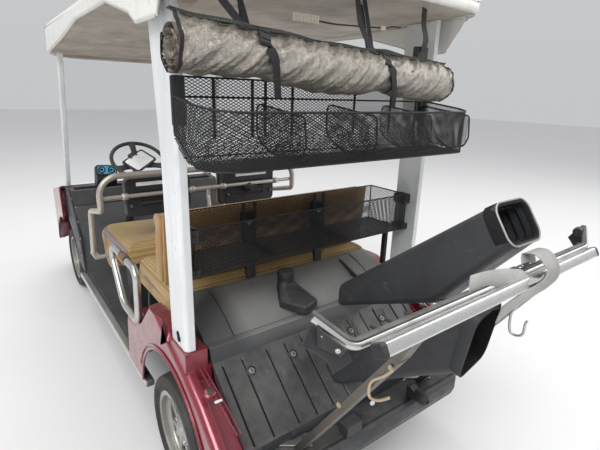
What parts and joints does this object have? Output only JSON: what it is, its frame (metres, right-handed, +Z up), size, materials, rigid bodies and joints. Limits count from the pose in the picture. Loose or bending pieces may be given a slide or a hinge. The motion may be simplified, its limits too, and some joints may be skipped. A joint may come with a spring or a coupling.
{
  "type": "golf cart",
  "caption": "Roofed golf cart with front and rear bench seats, steered front wheels, hip hoops, mesh baskets under the roof, club tubes and a bag rack over a sloping bag floor.",
  "frame": {"origin": "on the ground, under the middle of the cart's bounding box", "axes": "+Z up, the front faces -Y, +X is the cart's left side"},
  "size_m": [1.212, 3.6149, 1.8744],
  "materials": {
    "tyre": "worn rubber",
    "wheel_silver": "silver paint",
    "running_gear": "black paint, matte",
    "floor_dark": "ribbed mat",
    "aluminium": "extruded, satin",
    "seat_vinyl": "perforated vinyl",
    "black_plastic": "moulded, fine grain",
    "grey_plastic": "moulded, fine grain",
    "frame_beige": "silver-beige paint",
    "hoop_silver": "light silver paint",
    "black_tube": "black powder coat",
    "body_red": "wine-red metallic",
    "pillar_white": "white paint",
    "roof_white": "white moulding",
    "liner_beige": "beige moulding",
    "mesh_black": "expanded metal, black",
    "curtain_fabric": "woven mesh",
    "strap_black": "woven webbing",
    "belt_grey": "ribbed belt",
    "brass_wire": "brass",
    "black_rubber": "moulded rubber",
    "lamp_lens": "clear lens",
    "glass": "clear",
    "steering_black": "moulded"
  },
  "bodies": {
    "cart": {"rear_axle": "running_gear", "front_axle_beam": "running_gear", "chassis_frame": "running_gear", "engine_block": "running_gear", "floor_pan": "floor_dark", "sill_trim": "aluminium", "rack_arms": "aluminium", "rack_rail": "aluminium", "guard_bar": "aluminium", "front_seat_cushion": "seat_vinyl", "front_backrest_pads": "seat_vinyl", "rear_seat_cushion": "seat_vinyl", "rear_backrest_pad": "seat_vinyl", "front_seat_base": "black_plastic", "front_backrest_shells": "black_plastic", "rear_seat_base": "black_plastic", "rear_backrest_board": "black_plastic", "club_tube_upper": "black_plastic", "club_tube_lower": "black_plastic", "rear_deck": "grey_plastic", "bag_floor": "grey_plastic", "dash_panel": "grey_plastic", "foot_panels": "grey_plastic", "rear_bumper": "grey_plastic", "front_bumper": "grey_plastic", "latch_box": "grey_plastic", "sensor_pod": "grey_plastic", "front_seat_frame": "frame_beige", "hip_hoops": "hoop_silver", "seat_brackets": "black_tube", "rear_body": "body_red", "front_cowl": "body_red", "front_pillars": "pillar_white", "rear_pillars": "pillar_white", "roof_canopy": "roof_white", "roof_liner": "liner_beige", "upper_basket": "mesh_black", "lower_basket": "mesh_black", "rain_curtain": "curtain_fabric", "curtain_straps": "strap_black", "bag_belts": "belt_grey", "bag_hook": "brass_wire", "rack_rubbers": "black_rubber", "bumper_roller": "black_rubber", "headlamps": "lamp_lens", "windshield": "glass", "steering_column": "steering_black"},
    "wheel_front_left": {"tyre_front_left": "tyre", "rim_front_left": "wheel_silver"},
    "wheel_front_right": {"tyre_front_right": "tyre", "rim_front_right": "wheel_silver"},
    "wheel_rear_left": {"tyre_rear_left": "tyre", "rim_rear_left": "wheel_silver"},
    "wheel_rear_right": {"tyre_rear_right": "tyre", "rim_rear_right": "wheel_silver"},
    "knuckle_left": {"knuckle_left": "running_gear"},
    "knuckle_right": {"knuckle_right": "running_gear"},
    "steering_wheel": {"steering_wheel": "steering_black"}
  },
  "joints": [
    {"name": "front_left_wheel_spin", "type": "hinge", "parent": "knuckle_left", "child": "wheel_front_left", "pos_m": [0.441, -1.2509, 0.2285], "axis": [1, 0, 0], "continuous": true},
    {"name": "front_right_wheel_spin", "type": "hinge", "parent": "knuckle_right", "child": "wheel_front_right", "pos_m": [-0.441, -1.2509, 0.2285], "axis": [1, 0, 0], "continuous": true},
    {"name": "rear_left_wheel_spin", "type": "hinge", "parent": "cart", "child": "wheel_rear_left", "pos_m": [0.478, 0.8991, 0.2285], "axis": [1, 0, 0], "continuous": true},
    {"name": "rear_right_wheel_spin", "type": "hinge", "parent": "cart", "child": "wheel_rear_right", "pos_m": [-0.478, 0.8991, 0.2285], "axis": [1, 0, 0], "continuous": true},
    {"name": "left_knuckle_steer", "type": "hinge", "parent": "cart", "child": "knuckle_left", "pos_m": [0.361, -1.2509, 0.2285], "axis": [0, 0, 1], "range_deg": [-25, 25]},
    {"name": "right_knuckle_steer", "type": "hinge", "parent": "cart", "child": "knuckle_right", "pos_m": [-0.361, -1.2509, 0.2285], "axis": [0, 0, 1], "range_deg": [-25, 25]},
    {"name": "steering_wheel_turn", "type": "hinge", "parent": "cart", "child": "steering_wheel", "pos_m": [0.212, -0.5259, 1.06], "axis": [0, 0.5736, 0.8192], "range_deg": [-275, 275]}
  ],
  "couplings": [
    {"joint": "right_knuckle_steer", "follows": "left_knuckle_steer", "ratio": 1},
    {"joint": "steering_wheel_turn", "follows": "left_knuckle_steer", "ratio": 10}
  ]
}
